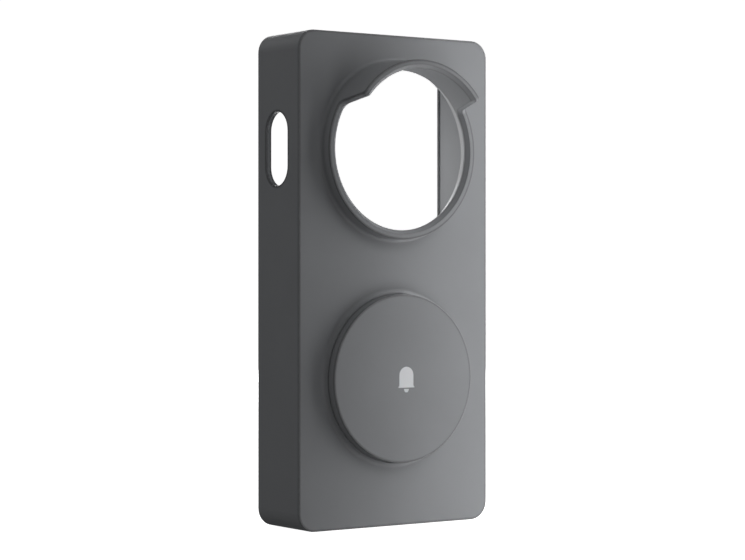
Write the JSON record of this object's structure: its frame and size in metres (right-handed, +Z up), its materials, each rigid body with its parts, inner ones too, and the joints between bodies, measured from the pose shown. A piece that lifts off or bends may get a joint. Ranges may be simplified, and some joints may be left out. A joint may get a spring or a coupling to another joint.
{
  "type": "video doorbell front housing",
  "caption": "Slim open-backed front housing of a video doorbell, with a hooded camera collar, a side slot and a large round push button that carries a bell icon.",
  "frame": {"origin": "middle of the bottom edge of the rear rim, in the plane that rests on the wall or the back plate", "axes": "+X to the right seen from the street, +Y from the street into the wall, +Z up"},
  "size_m": [0.0682, 0.0362, 0.145],
  "materials": {
    "housing_plastic": "fine matt, dark grey",
    "cap_plastic": "fine matt, dark grey",
    "icon_plastic": "translucent pale grey",
    "silicone": "soft, milky",
    "spring_steel": "bright spring steel",
    "foam_rubber": "closed-cell foam, black",
    "bushing_plastic": "self-lubricating, off-white",
    "carrier_plastic": "fine matt, black",
    "zinc_steel": "zinc plated",
    "insert_brass": "turned",
    "clear_plastic": "clear, polished",
    "white_plastic": "white, reflective",
    "circuit_board": "solder mask, green",
    "connector_plastic": "natural nylon",
    "pin_metal": "tin plated",
    "chip_plastic": "moulded epoxy, black",
    "chip_ceramic": "ceramic, brown",
    "led_package": "white package with a yellow lens",
    "switch_plastic": "moulded, black",
    "plunger_plastic": "moulded, red"
  },
  "bodies": {
    "housing": {"front_housing": "housing_plastic", "return_springs": "spring_steel", "button_seal": "foam_rubber", "guide_bushings": "bushing_plastic", "button_carrier": "carrier_plastic", "carrier_screws": "zinc_steel", "threaded_inserts": "insert_brass", "light_guide": "clear_plastic", "light_tube": "white_plastic", "button_board": "circuit_board", "board_screws": "zinc_steel", "board_connector": "connector_plastic", "connector_pins": "pin_metal", "driver_chip": "chip_plastic", "chip_parts": "chip_ceramic", "icon_leds": "led_package", "switch_base": "switch_plastic", "switch_cover": "spring_steel", "switch_dome": "spring_steel", "switch_terminals": "pin_metal"},
    "button": {"button_cap": "cap_plastic", "bell_icon": "icon_plastic", "press_pad": "silicone", "retaining_clips": "spring_steel"},
    "plunger": {"switch_plunger": "plunger_plastic"}
  },
  "joints": [
    {"name": "button_press", "type": "slide", "parent": "housing", "child": "button", "axis": [0, 1, 0], "range_m": [0, 0.0008], "stiffness_N_per_m": 1200, "springref_m": -0.0015, "deforming": ["return_springs", "button_seal"]},
    {"name": "plunger_slide", "type": "slide", "parent": "housing", "child": "plunger", "axis": [0, 1, 0], "range_m": [0, 0.0008], "deforming": ["switch_dome"]}
  ],
  "couplings": [
    {"joint": "plunger_slide", "follows": "button_press", "ratio": 1}
  ]
}
